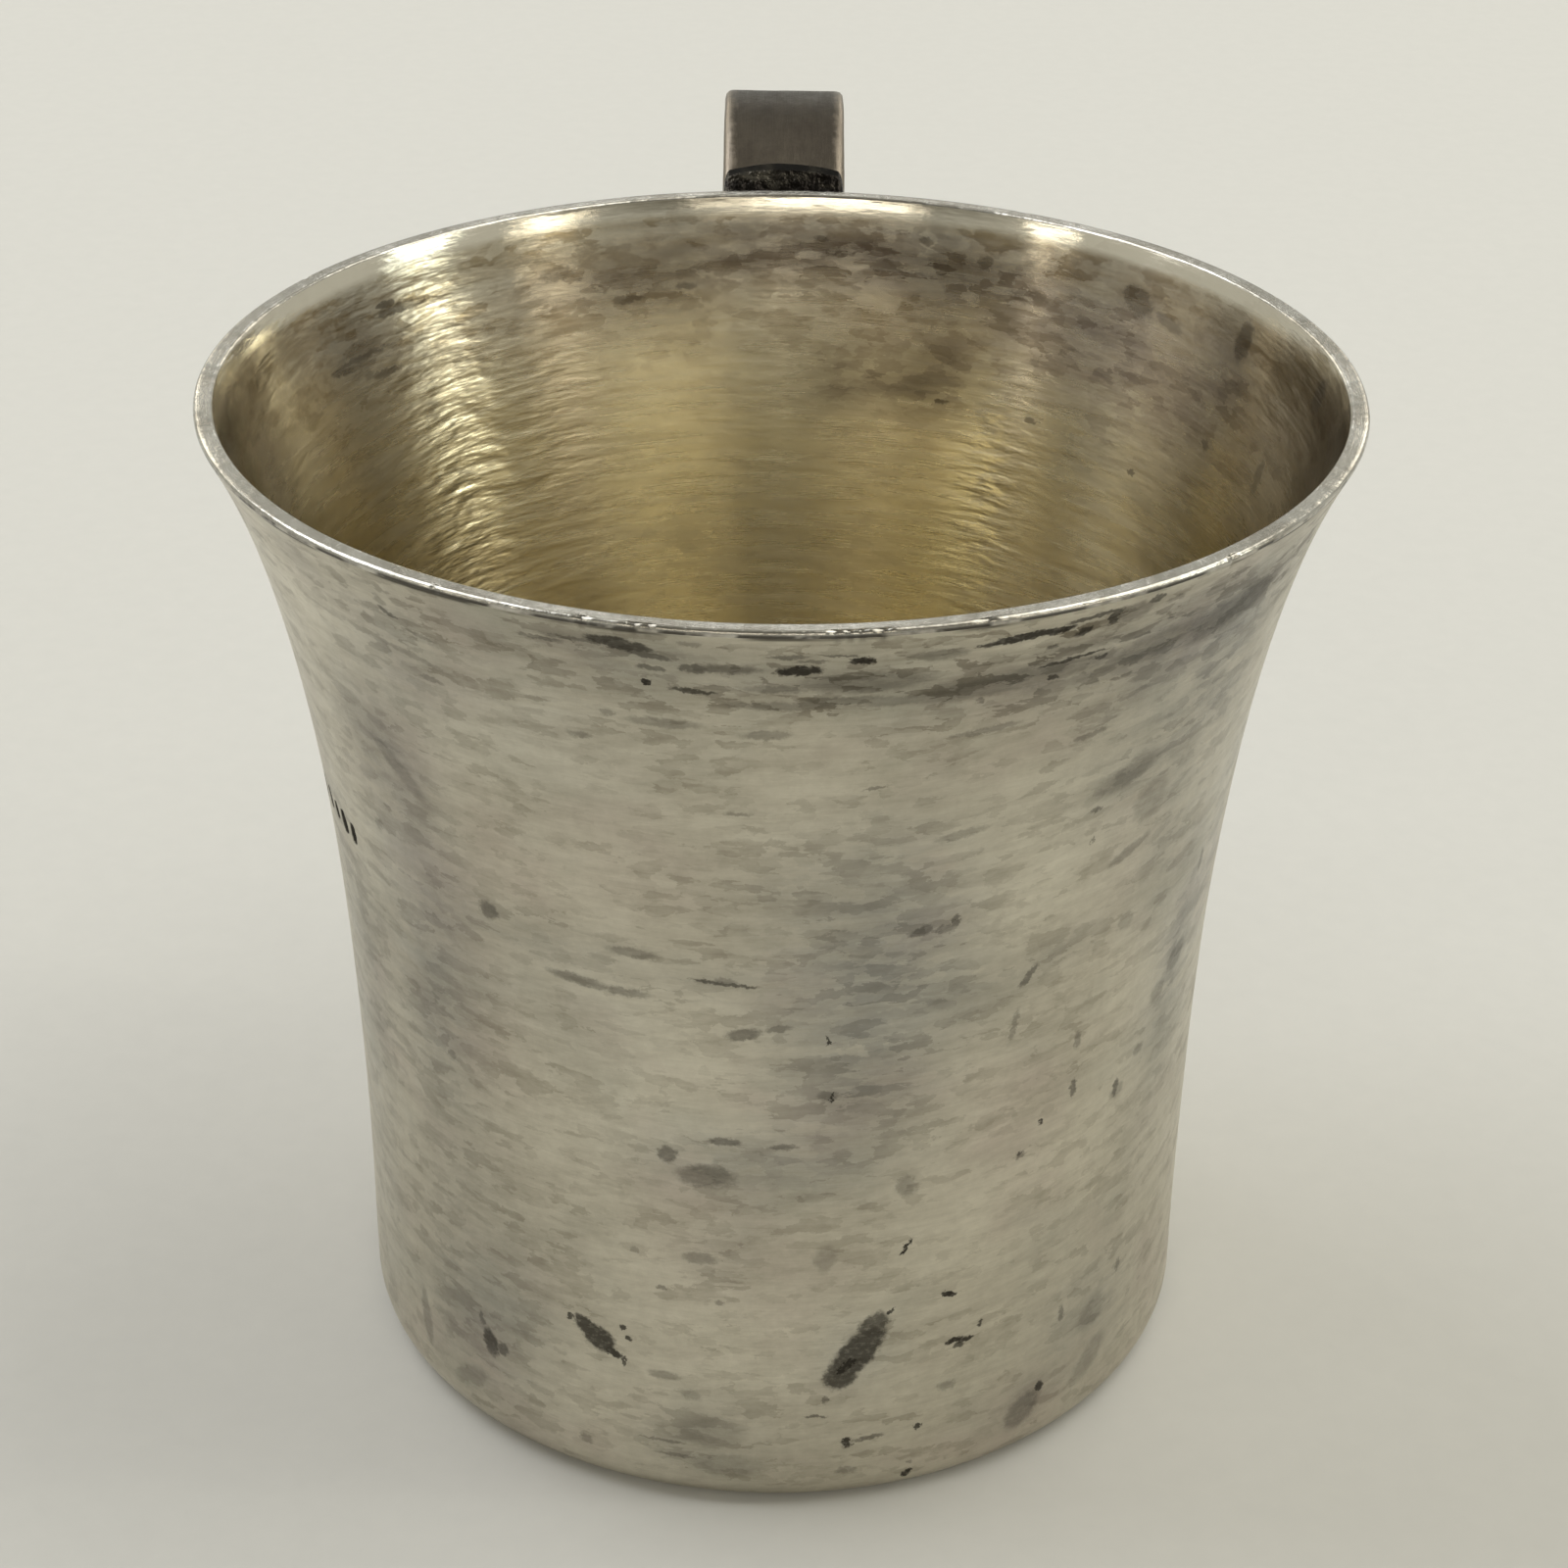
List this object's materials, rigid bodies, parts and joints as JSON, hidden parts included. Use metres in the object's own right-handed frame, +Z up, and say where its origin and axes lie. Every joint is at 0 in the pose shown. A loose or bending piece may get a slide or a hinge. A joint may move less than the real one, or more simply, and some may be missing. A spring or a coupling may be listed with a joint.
{
  "type": "silver cup",
  "caption": "Small silver drinking cup: a plain tapered body that flares to a thickened lip, with a flat strap handle in an ear-shaped loop at the back.",
  "frame": {"origin": "centre of the flat underside, on the body's axis", "axes": "+Z up along the body's axis, +Y out towards the handle"},
  "size_m": [0.0782, 0.1014, 0.0758],
  "materials": {
    "silver_body": "worn sterling silver, satin from fine scratches, with warm tarnish",
    "silver_handle": "dark tarnished sterling silver, semi-gloss"
  },
  "bodies": {
    "root": {"cup_body": "silver_body", "handle_strap": "silver_handle"}
  },
  "joints": []
}
